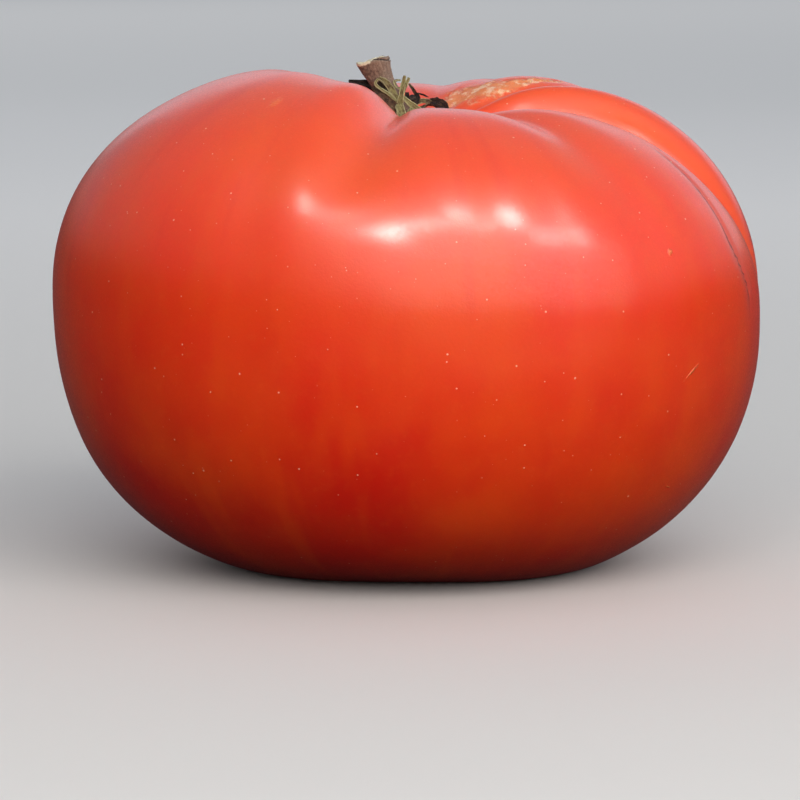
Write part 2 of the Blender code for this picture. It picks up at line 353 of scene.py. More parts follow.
# %% Lay the stem along its path
STEM_PATH = [
    (-0.1, 0.3, 64.0),
    (-1.2, 0.1, 66.0),
    (-2.45, 0.0, 68.0),
    (-3.6, 0.0, 69.9),
    (-4.4, 0.0, 71.6),
    (-4.9, 0.0, 73.05),
]
STEM_RADII = [  # share of the length, radius in millimetres
    (0.0, 2.3),
    (0.12, 1.75),
    (0.3, 1.38),
    (0.45, 1.42),
    (0.62, 1.62),
    (0.78, 1.95),
    (0.9, 2.32),
    (0.97, 2.52),
    (1.0, 2.5),
]
DEPTH_RATIO = 0.93
FIBRES = 17
FIBRE_HEIGHT = 0.045 * MM
RIDGE_HEIGHT = 0.09 * MM
ROUGH_HEIGHT = 0.07 * MM
JAG_HEIGHT = 0.30 * MM
CRACK = 0.93  # share of the length where the cap sits over the stalk, on the right
CRACK_RISE = 0.16  # how much nearer the end the crack is at the far left
CRACK_WIDTH = 0.010
CRACK_DEPTH = 0.30 * MM
PITH_DROP = 0.10 * MM  # how much lower the end lies where the cap is gone
END_SINK = 0.55 * MM
CAP_DROOP = 0.30 * MM
CAP_TAPER = 0.30 * MM
NUB_HEIGHT = 0.32 * MM


def lay_stem(piece):
    """Bend the upright tube along the stem's path, and give it bark, a crack and a torn end."""
    mesh = piece.data
    tube = read_vectors(mesh.vertices, "co")
    share, spread = tube[:, 2], np.hypot(tube[:, 0], tube[:, 1])
    angle = np.arctan2(tube[:, 1], tube[:, 0])
    middle, side, front = on_path(STEM_PATH, share, (0, -1, 0))
    back = -front
    right = (np.cos(angle) + 1) / 2  # 1 on the right, 0 on the left
    capped = eased(right, 0.30, 0.55)  # where the knuckle's cap is still there
    radius = np.interp(share, *zip(*STEM_RADII)) * MM
    wander = 0.5 * fractal(np.stack([np.cos(angle), np.sin(angle), share * 2.2], 1), 1.0, 2, 3)
    fibres = np.abs(np.sin(FIBRES * (angle + 0.35 * wander) / 2)) ** 0.7
    ridges = np.sin(5 * angle + 2 * wander + 1)
    rough = fractal(np.stack([np.cos(angle) * 2, np.sin(angle) * 2, share * 9], 1), 1.0, 4, 9)
    radius += FIBRE_HEIGHT * (fibres - 0.5) + RIDGE_HEIGHT * ridges + ROUGH_HEIGHT * rough
    crack_line = CRACK + CRACK_RISE * (1 - right) + 0.006 * rough
    crack = np.exp(-(((share - crack_line) / CRACK_WIDTH) ** 2)) * capped
    radius -= CRACK_DEPTH * crack
    radius -= CAP_TAPER * eased(share, 0.90, 1.0) * eased(right, 0.5, 1.0)
    radius *= np.where(spread < 0.999, spread, 1)
    jag = fractal(np.stack([np.cos(angle) * 3, np.sin(angle) * 3, 0 * share], 1), 1.0, 4, 5)
    on_end = eased(share, 0.86, 1.0)
    lift = JAG_HEIGHT * jag * on_end * (1 - 0.65 * capped) - PITH_DROP * on_end * (1 - capped)
    within = np.where((share > 0.9999) & (spread < 0.999), 1 - spread, 0)
    lift -= END_SINK * eased(within, 0.12, 0.5) * (0.7 + 0.5 * rough)
    lift -= CAP_DROOP * eased(right, 0.72, 1.0) * on_end
    lift += NUB_HEIGHT * eased(right, 0.10, 0.02) * on_end
    along = np.cross(side, back)
    places = middle + side * (radius * np.cos(angle))[:, None]
    places += back * (DEPTH_RATIO * radius * np.sin(angle))[:, None] + along * lift[:, None]
    write_places(mesh, places)
    store(mesh, "grain", np.stack([np.cos(angle) * 2.2, np.sin(angle) * 2.2, share * 9], 1))
    store(mesh, "broken", np.maximum(eased(within, 0.0, 0.1), on_end**3 * (1 - capped)))
    store(mesh, "crack", crack)
    store(mesh, "left_side", 1 - right)


stem = new_piece("stem_stub", stem_shape, "stem")
lay_stem(stem)
print("stem top", round(read_vectors(stem.data.vertices, "co")[:, 2].max() / MM, 1), "mm")

# %% [markdown]
# ## The calyx
# The sepals dried on the plant. Near the root they are still olive and stiff, and towards the
# tip they are black, curled and thin as paper. Each is a small grid laid along its own path,
# rolled across its width, waved and crumpled. Solidify gives it paper thickness, and
# subdivision makes the fold lines soft.

# %% Lay one sepal
SEPAL_STEPS = 26
SEPAL_COLUMNS = 6
SEPAL_THICKNESS = 0.20 * MM
CLEARANCE = 0.22 * MM
RAGGED_SHARE = 0.22  # how much of its half-width a blade's edge gains or loses


def skin_height(x, y):
    """How high the fruit's surface lies under a place, seen from above."""
    return fruit_tree.ray_cast(Vector((x, y, 2 * TOP_HEIGHT)), Vector((0, 0, -1)))[0].z


def sepal(name, points, widths, roll, facing, dry, crumple=0.10, twist=0.0):
    """A withered sepal laid on a path of places in millimetres.

    Its half-widths are in millimetres from root to tip, and roll and twist in degrees. dry gives
    how dry the root and the tip are: 0 is olive and 1 is black.
    """
    shape = bmesh.new()
    bmesh.ops.create_grid(
        shape, x_segments=SEPAL_COLUMNS, y_segments=SEPAL_STEPS, size=0.5
    )
    piece = new_piece(name, shape, "calyx")
    mesh = piece.data
    flat = read_vectors(mesh.vertices, "co")
    across, share = 2 * flat[:, 0], flat[:, 1] + 0.5
    middle, side, face = on_path(points, share, facing)
    turn = math.radians(twist) * share
    side, face = (
        side * np.cos(turn)[:, None] + face * np.sin(turn)[:, None],
        face * np.cos(turn)[:, None] - side * np.sin(turn)[:, None],
    )
    seed = sum(map(ord, name)) % 97
    ragged = fractal(np.stack([across * 0.6, share * 7, 0 * share], 1), 1.0, 3, seed)
    half_width = np.interp(share, np.linspace(0, 1, len(widths)), widths) * MM
    half_width *= 1 + RAGGED_SHARE * ragged * np.abs(across)
    bend = math.radians(roll) / 2 * (0.75 + 0.35 * np.sin(2.2 * math.pi * share + seed))
    bend = np.where(np.abs(bend) < 1e-3, 1e-3, bend)
    out = half_width * np.sin(bend * across) / bend
    up = half_width * (1 - np.cos(bend * across)) / bend
    crumples = fractal(np.stack([across, share * 6, 0 * share + 1], 1), 1.0, 3, seed + 2)
    up = up + crumple * MM * crumples * eased(share, 0.05, 0.3)
    places = middle + side * out[:, None] + face * up[:, None]
    for place in places:
        place[2] = max(place[2], skin_height(place[0], place[1]) + CLEARANCE)
    write_places(mesh, places)
    store(mesh, "grain", np.stack([across * 2.4, 0 * share, share * 8], 1))
    store(mesh, "rim", np.abs(across))
    root_dry, tip_dry = dry
    dryness = root_dry + (tip_dry - root_dry) * eased(share + 0.15 * ragged, 0.1, 0.9)
    store(mesh, "dryness", dryness)
    paper = piece.modifiers.new("paper", "SOLIDIFY")
    paper.thickness = SEPAL_THICKNESS
    paper.offset = 0
    soft = piece.modifiers.new("soft", "SUBSURF")
    soft.levels = soft.render_levels = 1
    return piece


print("sepal grid", SEPAL_COLUMNS, "by", SEPAL_STEPS)

# %% The sepals in sight at the front
TOWARDS = (0, -1, 0.25)  # a blade that shows its face to the front
sepals = [
    sepal(
        "sepal_fork",
        [(-1.2, -1.6, 65.2), (-1.05, -2.2, 66.6), (-0.7, -2.4, 68.6), (-0.3, -2.3, 70.8)],
        (0.62, 0.58, 0.50, 0.42, 0.20),
        130,
        TOWARDS,
        (0.06, 0.14),
    ),
    sepal(
        "sepal_fork_tip",
        [(-0.6, -2.3, 68.4), (-0.15, -2.4, 69.5), (0.3, -2.3, 70.5)],
        (0.30, 0.34, 0.18),
        120,
        TOWARDS,
        (0.08, 0.16),
    ),
    sepal(
        "sepal_stalk",
        [(-0.9, -2.1, 68.0), (0.0, -2.5, 67.2), (1.1, -2.4, 66.3), (2.6, -2.0, 65.2)],
        (0.34, 0.44, 0.48, 0.42),
        150,
        TOWARDS,
        (0.04, 0.12),
    ),
    sepal(
        "sepal_front",
        [(-1.2, -2.0, 67.0), (-1.0, -2.8, 66.2), (-0.8, -3.6, 65.4), (-0.7, -4.6, 64.8)],
        (0.40, 0.72, 0.74, 0.5),
        100,
        TOWARDS,
        (0.04, 0.25),
    ),
    sepal(
        "sepal_small_leaf",
        [(0.6, -2.6, 66.2), (0.5, -3.3, 65.7), (0.45, -4.0, 65.3), (0.4, -4.8, 64.8)],
        (0.20, 0.46, 0.48, 0.3),
        60,
        TOWARDS,
        (0.04, 0.35),
    ),
    sepal(
        "sepal_loop",
        [(-0.7, -1.9, 68.9), (-1.6, -2.1, 69.15), (-1.75, -2.0, 69.9), (-0.9, -2.0, 70.15)],
        (0.24, 0.30, 0.28, 0.18),
        150,
        (0.3, -0.2, 1),
        (0.08, 0.2),
    ),
    sepal(
        "sepal_upper_fold",
        [(-1.3, -2.0, 67.3), (-2.3, -2.3, 68.9), (-3.1, -2.4, 69.9), (-4.0, -2.3, 70.45)],
        (0.34, 0.54, 0.52, 0.30),
        120,
        (0.2, -1, 0.3),
        (0.22, 0.34),
    ),
    sepal(
        "sepal_lower_fold",
        [
            (-1.5, -2.4, 67.1),
            (-2.6, -2.7, 68.15),
            (-3.6, -2.8, 68.8),
            (-4.5, -2.7, 69.6),
            (-4.1, -2.6, 70.4),
        ],
        (0.18, 0.23, 0.25, 0.22, 0.14),
        150,
        (0.2, -1, 0.3),
        (0.02, 0.06),
    ),
    sepal(
        "sepal_inner_fold",
        [(-1.2, -1.8, 67.0), (-2.5, -2.05, 68.3), (-3.6, -2.1, 69.3), (-4.1, -2.0, 69.9)],
        (0.4, 0.5, 0.45, 0.2),
        40,
        (0.2, -1, 0.3),
        (0.85, 0.8),
    ),
    sepal(
        "sepal_dark_front",
        [(-1.0, -2.2, 65.6), (-2.2, -2.6, 66.8), (-3.6, -2.7, 68.1), (-4.9, -2.2, 69.2)],
        (0.7, 0.85, 0.8, 0.4),
        60,
        (0, -1, 0.6),
        (0.62, 0.72),
        crumple=0.2,
    ),
    sepal(
        "sepal_arch",
        [(0.6, -0.6, 66.2), (1.7, -0.2, 66.95), (2.9, 0.1, 67.0), (3.5, 0.2, 66.75)],
        (0.25, 0.34, 0.42, 0.30),
        110,
        TOWARDS,
        (0.10, 0.55),
    ),
    sepal(
        "sepal_arch_black",
        [(3.2, 0.2, 67.0), (4.2, 0.2, 66.85), (5.2, 0.3, 66.5), (5.8, 0.4, 65.7)],
        (0.45, 0.72, 0.66, 0.30),
        70,
        TOWARDS,
        (1.0, 1.3),
    ),
    sepal(
        "sepal_dark_curl",
        [
            (0.0, -0.2, 68.3),
            (0.1, -0.6, 67.2),
            (0.9, -0.7, 66.8),
            (1.6, -0.2, 67.2),
            (1.5, 0.2, 68.2),
        ],
        (0.3, 0.42, 0.46, 0.40, 0.2),
        150,
        TOWARDS,
        (0.9, 1.2),
    ),
    sepal(
        "sepal_dark_tip",
        [(0.3, 0.2, 69.5), (0.75, 0.0, 68.9), (1.2, 0.1, 68.2), (1.65, 0.3, 67.4)],
        (0.12, 0.24, 0.26, 0.2),
        120,
        TOWARDS,
        (0.55, 0.9),
    ),
    sepal(
        "sepal_vein",
        [(1.2, 0.5, 68.15), (2.2, 0.6, 67.95), (3.1, 0.5, 67.55)],
        (0.10, 0.08, 0.06),
        160,
        TOWARDS,
        (0.9, 1.0),
        crumple=0.03,
    ),
    sepal(
        "sepal_left",
        [(-1.6, 1.6, 65.6), (-3.6, 1.8, 67.6), (-5.8, 1.2, 69.2), (-8.4, 0.8, 69.8)],
        (0.6, 0.9, 0.95, 0.35),
        80,
        (0, -0.6, 1),
        (0.9, 1.3),
    ),
]
print(len(sepals), "sepals in front")

# %% [markdown]
# Behind the stem the other sepals lie in the hollow and bend down over the skin, as they would
# on any tomato. They are long, dry and twisted.

# %% The sepals behind, and the disc they grow from
UPWARDS = (0, 0, 1)
sepals += [
    sepal(
        "sepal_back",
        [(0.3, 1.4, 64.6), (0.6, 4.0, 66.4), (0.4, 7.0, 67.0), (-0.6, 9.4, 66.6)],
        (0.8, 1.1, 0.9, 0.2),
        100,
        UPWARDS,
        (0.3, 1.2),
        twist=35,
    ),
    sepal(
        "sepal_back_right",
        [(1.2, 1.2, 64.6), (2.6, 3.0, 66.0), (4.0, 4.6, 66.3), (4.8, 5.4, 65.6)],
        (0.6, 0.8, 0.7, 0.2),
        120,
        UPWARDS,
        (0.3, 1.2),
        twist=50,
    ),
    sepal(
        "sepal_back_left",
        [(-1.2, 1.0, 64.4), (-3.8, 3.0, 67.0), (-6.6, 4.8, 68.6), (-8.6, 5.6, 69.0)],
        (0.7, 1.0, 0.8, 0.2),
        110,
        UPWARDS,
        (0.35, 1.25),
        twist=-30,
    ),
]


DISC_RADIUS = 2.3
DISC_HALF_HEIGHT = 1.25
DISC_LUMPS = 0.2


def disc(name):
    """The fleshy disc under the stem that the sepals grow from."""
    shape = bmesh.new()
    bmesh.ops.create_icosphere(shape, subdivisions=4, radius=1)
    low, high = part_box("calyx")
    middle = Vector((0, 0, low.z + 1.3 * MM))
    for vertex in shape.verts:
        lump = noise.fractal(vertex.co * 3.1, 1.0, 2.0, 3)
        angle = math.atan2(vertex.co.y, vertex.co.x)
        wide = DISC_RADIUS + 0.35 * math.sin(5 * angle) + DISC_LUMPS * lump
        tall = DISC_HALF_HEIGHT + DISC_LUMPS * lump
        vertex.co = middle + vertex.co * Vector((wide, wide, tall)) * MM
    piece = new_piece(name, shape, "calyx")
    places = read_vectors(piece.data.vertices, "co")
    store(piece.data, "grain", places / MM)
    store(piece.data, "rim", np.zeros(len(places)))
    store(piece.data, "dryness", np.full(len(places), 0.35))
    return piece


sepals.append(disc("calyx_disc"))
print(len(sepals), "pieces of calyx")

# %% [markdown]
# ## Materials
# A few short functions make nodes, so that each material reads as a recipe. What every material
# here needs, specks of dust and pores, is built once as a node group.


# %% Helpers that make nodes
def put(tree, kind, inputs=(), **settings):
    """A node with its settings, and its inputs given as values or as sockets to link."""
    made = tree.nodes.new(kind)
    for name, value in settings.items():
        setattr(made, name, value)
    for name, value in dict(inputs).items():
        if isinstance(value, bpy.types.NodeSocket):
            tree.links.new(value, made.inputs[name])
        else:
            made.inputs[name].default_value = value
    return made


def maths(tree, operation, first, second=0.0, third=0.0, clamp=False):
    inputs = {0: first, 1: second, 2: third}
    return put(tree, "ShaderNodeMath", inputs, operation=operation, use_clamp=clamp).outputs[0]


def blended(tree, share, first, second):
    """Two colours mixed by a share."""
    first, second = (
        (*colour, 1) if isinstance(colour, tuple) else colour for colour in (first, second)
    )
    inputs = {0: share, 6: first, 7: second}
    return put(tree, "ShaderNodeMix", inputs, data_type="RGBA").outputs[2]


def spread(tree, value, low, high, to_low=0.0, to_high=1.0):
    """The value's range from low to high stretched to another range, smoothly."""
    inputs = {0: value, 1: low, 2: high, 3: to_low, 4: to_high}
    return put(
        tree, "ShaderNodeMapRange", inputs, interpolation_type="SMOOTHSTEP"
    ).outputs[0]


def cloud(tree, vector, scale, detail=3.0, rough=0.55):
    inputs = {"Vector": vector, "Scale": scale, "Detail": detail, "Roughness": rough}
    return put(tree, "ShaderNodeTexNoise", inputs).outputs[0]


def moved(tree, vector, scale=(1, 1, 1), location=(0, 0, 0)):
    inputs = {"Vector": vector, "Scale": scale, "Location": location}
    return put(tree, "ShaderNodeMapping", inputs).outputs[0]


def attribute(tree, name, output="Fac"):
    return put(tree, "ShaderNodeAttribute", attribute_name=name).outputs[output]


def new_material(name, constants):
    """A material with nodes, its Principled shader's fixed values set on its own sockets."""
    material = bpy.data.materials.new(name)
    material.use_nodes = True
    tree = material.node_tree
    shader = tree.nodes["Principled BSDF"]
    for socket, value in constants.items():
        shader.inputs[socket].default_value = value
    return material, tree, shader


def bumped(tree, height, distance, normal=None):
    inputs = {"Height": height, "Distance": distance, "Strength": 1.0}
    if normal:
        inputs["Normal"] = normal
    return put(tree, "ShaderNodeBump", inputs).outputs[0]


# %% [markdown]
# Specks are tiny pale dots at random places, and not every cell of the pattern has one. A
# Voronoi texture gives one point in each cell, and the cell's own random colour says how large
# its dot is. The same group makes the pores of the skin and the dust on the stem and sepals.


# %% The group of specks
def speck_group():
    group = bpy.data.node_groups.new("tiny_specks", "ShaderNodeTree")
    for name, kind, default in (
        ("Vector", "NodeSocketVector", None),
        ("Cells", "NodeSocketFloat", 250.0),
        ("Size", "NodeSocketFloat", 0.05),
    ):
        socket = group.interface.new_socket(name, in_out="INPUT", socket_type=kind)
        if default is not None:
            socket.default_value = default
    group.interface.new_socket("Mask", in_out="OUTPUT", socket_type="NodeSocketFloat")
    given = group.nodes.new("NodeGroupInput")
    cells = put(
        group,
        "ShaderNodeTexVoronoi",
        {"Vector": given.outputs["Vector"], "Scale": given.outputs["Cells"]},
    )
    luck = put(group, "ShaderNodeSeparateColor", {0: cells.outputs["Color"]})
    rare = maths(group, "POWER", luck.outputs[0], 3.0)
    size = maths(group, "MULTIPLY", rare, given.outputs["Size"])
    ratio = maths(group, "DIVIDE", cells.outputs["Distance"], maths(group, "ADD", size, 1e-4))
    mask = spread(group, ratio, 1.3, 0.6)
    taken = put(group, "NodeGroupOutput")
    group.links.new(mask, taken.inputs["Mask"])
    return group


tiny_specks = speck_group()


def specks(tree, vector, cells, size):
    made = put(tree, "ShaderNodeGroup", node_tree=tiny_specks)
    tree.links.new(vector, made.inputs["Vector"])
    made.inputs["Cells"].default_value = cells
    made.inputs["Size"].default_value = size
    return made.outputs["Mask"]


print("group", tiny_specks.name)

# %% [markdown]
# ### The skin's finish
# Under a clear cuticle the flesh is red with orange where it is thinner, so a little
# subsurface scattering and a soft clear coat carry most of the look. Colour changes slowly in
# clouds and in faint streaks from stem to blossom end. On top come pale pores, the dark line in
# the crease with painted shade either side of it, a painted dark line of shade and a painted
# mauve sheen along the fold's lip, painted orange bounce light on the fold's far wall, the cork
# of the scar, brown cork round the calyx, and a few old scratches. The clear coat is broken up
# by a fine mist and by pits, because a real skin's shine is grainy.

# %% Marks on the skin
MARKS = [  # x, y, z in mm, length and width in mm, turn in degrees in the front plane, strength
    (-18.2, -22.5, 68.0, 3.2, 1.3, 30, 0.35),
    (35.7, -32.0, 48.3, 0.9, 1.3, 10, 0.55),
    (39.0, -30.6, 31.8, 3.9, 0.45, 46, 0.60),
    (36.1, -26.4, 15.1, 1.0, 0.3, -30, 0.6),
    (-30.5, -30.0, 25.0, 1.6, 0.25, 60, 0.5),
    (-20.0, -38.0, 20.0, 1.0, 0.2, 20, 0.4),
    (14.0, 44.0, 46.0, 4.0, 0.8, 20, 0.7),
    (-40.0, 20.0, 50.0, 1.2, 2.6, -35, 0.6),
]


def marks_mask(tree, place):
    """A mask that is 1 on each small scratch or scuff, with a ragged edge."""
    wobble = cloud(tree, place, 2600.0, 2.0)
    total = None
    for x, y, z, length, width, turn, strength in MARKS:
        centre = put(
            tree, "ShaderNodeVectorMath", {0: place, 1: (x * MM, y * MM, z * MM)},
            operation="SUBTRACT",
        ).outputs[0]
        turned = put(
            tree,
            "ShaderNodeVectorRotate",
            {"Vector": centre, "Angle": math.radians(turn)},
            rotation_type="Y_AXIS",
        ).outputs[0]
        half = (2 / (length * MM), 1 / (4 * MM), 2 / (width * MM))
        scaled = put(
            tree, "ShaderNodeVectorMath", {0: turned, 1: half}, operation="MULTIPLY"
        ).outputs[0]
        away = put(tree, "ShaderNodeVectorMath", {0: scaled}, operation="LENGTH").outputs["Value"]
        ragged = maths(tree, "ADD", away, maths(tree, "MULTIPLY", wobble, 1.2))
        mask = maths(tree, "MULTIPLY", spread(tree, ragged, 1.55, 0.7), strength)
        total = mask if total is None else maths(tree, "MAXIMUM", total, mask)
    return total


print(len(MARKS), "marks")

# %% The skin's material
DEEP_RED = (0.66, 0.009, 0.002)
RIPE_RED = (0.85, 0.035, 0.003)
ORANGE_RED = (0.84, 0.078, 0.004)
SHOULDER_ORANGE = (0.88, 0.115, 0.018)
PORE = (1.0, 0.50, 0.34)
# CREASE_BROWN paints the crease's line, the painted shade either side of it and the painted dark
# line at the lip.
CREASE_BROWN = (0.16, 0.016, 0.008)
# The mauve of a painted sheen along the fold's lip.
PAINTED_SHEEN_MAUVE = (0.50, 0.13, 0.12)
CORK_TAN = (0.84, 0.235, 0.080)
CORK_CREAM = (0.96, 0.55, 0.34)
SCRATCH_TAN = (0.86, 0.30, 0.07)
RING_BROWN = (0.30, 0.12, 0.04)
NAVEL_BROWN = (0.22, 0.11, 0.05)
GRAIN_HEIGHT = 0.022 * MM
PORE_HEIGHT = 0.020 * MM
CORK_HEIGHT = 0.45 * MM


def skin_material():
    material, tree, shader = new_material(
        "ripe_skin",
        {
            "Subsurface Weight": 0.30,
            "Subsurface Radius": (1.0, 0.22, 0.08),
            "Subsurface Scale": 0.004,
            "Specular IOR Level": 0.35,
            "Coat Roughness": 0.22,
            "Coat IOR": 1.45,
            "Sheen Weight": 0.03,
            "Sheen Roughness": 0.35,
            "Sheen Tint": (0.72, 0.68, 1.0, 1.0),
        },
    )
    place = put(tree, "ShaderNodeTexCoord").outputs["Object"]
    axes = put(tree, "ShaderNodeSeparateXYZ", {0: place})
    flat = moved(tree, place, scale=(1, 1, 0))
    out = put(tree, "ShaderNodeVectorMath", {0: flat}, operation="NORMALIZE").outputs[0]
    from_axis = put(tree, "ShaderNodeVectorMath", {0: flat}, operation="LENGTH").outputs["Value"]
    fallen = moved(tree, place, scale=(0, 0, 5))
    lengthwise = put(
        tree, "ShaderNodeVectorMath", {0: out, 1: fallen}, operation="ADD"
    ).outputs[0]

    clouds = cloud(tree, place, 34.0, 3.0)
    streaks = cloud(tree, lengthwise, 9.0, 2.0, 0.5)
    fine = cloud(tree, place, 700.0, 2.0)
    low = spread(tree, axes.outputs[2], 14 * MM, 50 * MM)
    top = spread(tree, axes.outputs[2], 48 * MM, 74 * MM)
    ripe = blended(tree, low, DEEP_RED, RIPE_RED)
    ripe = blended(tree, spread(tree, clouds, 0.35, 0.75, 0.0, 0.8), ripe, ORANGE_RED)
    ripe = blended(tree, maths(tree, "MULTIPLY", top, 0.35), ripe, SHOULDER_ORANGE)
    ripe = blended(tree, spread(tree, streaks, 0.50, 0.75, 0.0, 0.35), ripe, ORANGE_RED)
    ripe = blended(tree, spread(tree, streaks, 0.45, 0.25, 0.0, 0.20), ripe, DEEP_RED)
    ripe = blended(tree, spread(tree, fine, 0.5, 0.8, 0.0, 0.12), ripe, SHOULDER_ORANGE)

    pores = maths(
        tree,
        "MAXIMUM",
        specks(tree, place, 760.0, 0.115),
        maths(tree, "MULTIPLY", specks(tree, place, 900.0, 0.095), 0.45),
    )
    coloured = blended(tree, maths(tree, "MULTIPLY", pores, 0.80), ripe, PORE)

    across = maths(tree, "ABSOLUTE", attribute(tree, "crease_across"))
    there = attribute(tree, "crease_there")
    # The narrow brown line follows the crease's bottom. The wider, fainter brown either side of
    # it is painted shade in the fold.
    seam = maths(tree, "MULTIPLY", spread(tree, across, 0.55, 0.10), there)
    seam_shade = maths(tree, "MULTIPLY", spread(tree, across, 2.2, 0.2, 0.0, 0.45), there)
    coloured = blended(tree, maths(tree, "MAXIMUM", seam, seam_shade), coloured, CREASE_BROWN)
    lip_across, lip_there = attribute(tree, "lip_across"), attribute(tree, "lip_there")
    # A painted mauve sheen runs along both sides of the lip. It stands for the sky's reflection
    # at a grazing angle.
    lip_sheen = spread(tree, maths(tree, "ABSOLUTE", lip_across), 3.2, 0.4)
    lip_sheen = maths(tree, "MULTIPLY", lip_sheen, lip_there)
    coloured = blended(tree, maths(tree, "MULTIPLY", lip_sheen, 0.35), coloured, PAINTED_SHEEN_MAUVE)
    # Along the lip's shallow groove, a thin dark line is painted shade where the lobe's edge
    # hides the fold behind it.
    wavering = maths(tree, "MULTIPLY_ADD", fine, 0.5, maths(tree, "SUBTRACT", lip_across, 0.25))
    lip_shade_line = spread(tree, maths(tree, "ABSOLUTE", wavering), 0.24, 0.04, 0.0, 0.85)
    lip_shade_line = maths(tree, "MULTIPLY", lip_shade_line, lip_there)
    coloured = blended(tree, lip_shade_line, coloured, CREASE_BROWN)
    # The fold's far wall is tinted orange as painted bounce light from inside the fold. Further
    # down it also loses some gloss.
    far_wall = spread(tree, attribute(tree, "crease_across"), 0.4, 2.5)
    far_wall = maths(tree, "MULTIPLY", far_wall, there)
    far_wall = maths(tree, "MULTIPLY", far_wall, spread(tree, across, 5.5, 2.5))
    coloured = blended(tree, maths(tree, "MULTIPLY", far_wall, 0.5), coloured, SHOULDER_ORANGE)

    scar = attribute(tree, "scar")
    tatter = cloud(tree, place, 520.0, 5.0, 0.7)
    corky = maths(tree, "ADD", scar, maths(tree, "MULTIPLY_ADD", tatter, 1.0, -0.5))
    cork = spread(tree, corky, 0.46, 0.72)
    cream = spread(tree, cloud(tree, place, 620.0, 4.0, 0.7), 0.46, 0.60)
    cork_colour = blended(tree, cream, CORK_TAN, CORK_CREAM)
    halo = spread(tree, corky, 0.10, 0.5, 0.0, 0.6)
    coloured = blended(tree, halo, coloured, SHOULDER_ORANGE)
    coloured = blended(tree, cork, coloured, cork_colour)

    ring_edge = maths(tree, "MULTIPLY_ADD", tatter, 5 * MM, from_axis)
    ring = maths(tree, "MULTIPLY", spread(tree, ring_edge, 7.0 * MM, 4.6 * MM), top)
    coloured = blended(tree, maths(tree, "MULTIPLY", ring, 0.7), coloured, RING_BROWN)
    foot = spread(tree, axes.outputs[2], 4 * MM, 2 * MM)
    navel = maths(tree, "MULTIPLY", spread(tree, ring_edge, 4.4 * MM, 3.4 * MM), foot)
    coloured = blended(tree, navel, coloured, NAVEL_BROWN)

    marks = marks_mask(tree, place)
    coloured = blended(tree, marks, coloured, SCRATCH_TAN)
    tree.links.new(coloured, shader.inputs["Base Color"])

    dull = cork
    for other in (ring, navel, marks):
        dull = maths(tree, "MAXIMUM", dull, other)
    waxy = spread(tree, cloud(tree, place, 90.0, 4.0), 0.3, 0.7, 0.36, 0.44)
    waxy = maths(tree, "MULTIPLY_ADD", far_wall, 0.35, waxy)
    waxy = maths(tree, "MULTIPLY_ADD", dull, 0.4, waxy, clamp=True)
    tree.links.new(waxy, shader.inputs["Roughness"])
    mist = spread(tree, cloud(tree, place, 3600.0, 3.0, 0.7), 0.34, 0.66, 0.38, 0.98)
    pits = specks(tree, moved(tree, place, location=(0.3, 0.1, 0.2)), 800.0, 0.17)
    gloss = mist
    for matt in (maths(tree, "MULTIPLY", pits, 0.9), dull, far_wall):
        shiny = maths(tree, "SUBTRACT", 1.0, matt, clamp=True)
        gloss = maths(tree, "MULTIPLY", gloss, shiny)
    tree.links.new(gloss, shader.inputs["Coat Weight"])

    grain = cloud(tree, place, 2200.0, 3.0, 0.65)
    normal = bumped(tree, grain, GRAIN_HEIGHT)
    normal = bumped(tree, pores, PORE_HEIGHT, normal)
    rough_cork = maths(tree, "MULTIPLY", dull, cloud(tree, place, 1300.0, 5.0, 0.7))
    normal = bumped(tree, rough_cork, CORK_HEIGHT, normal)
    tree.links.new(normal, shader.inputs["Normal"])
    return material


skin.data.materials.clear()
skin.data.materials.append(skin_material())
print("material", skin.data.materials[0].name)

# %% [markdown]
# ### Dry leaf and dry wood
# Both are plant fibre, so both read the grain that was stored on their meshes, where the third
# number runs along the piece: noise that is stretched along it looks like fibres.

# %% The sepals' material
LEAF_EDGE_AND_HIGHLIGHT = (0.52, 0.50, 0.27)
LEAF_OLIVE = (0.30, 0.285, 0.115)
LEAF_BROWN = (0.095, 0.050, 0.026)
LEAF_BLACK = (0.008, 0.005, 0.005)
LEAF_DUST = (0.50, 0.46, 0.38)


def fibres(tree, scale_across, scale_along):
    """Noise drawn out along the piece."""
    grain = moved(
        tree, attribute(tree, "grain", "Vector"), scale=(scale_across, scale_across, scale_along)
    )
    return cloud(tree, grain, 1.0, 4.0, 0.65)


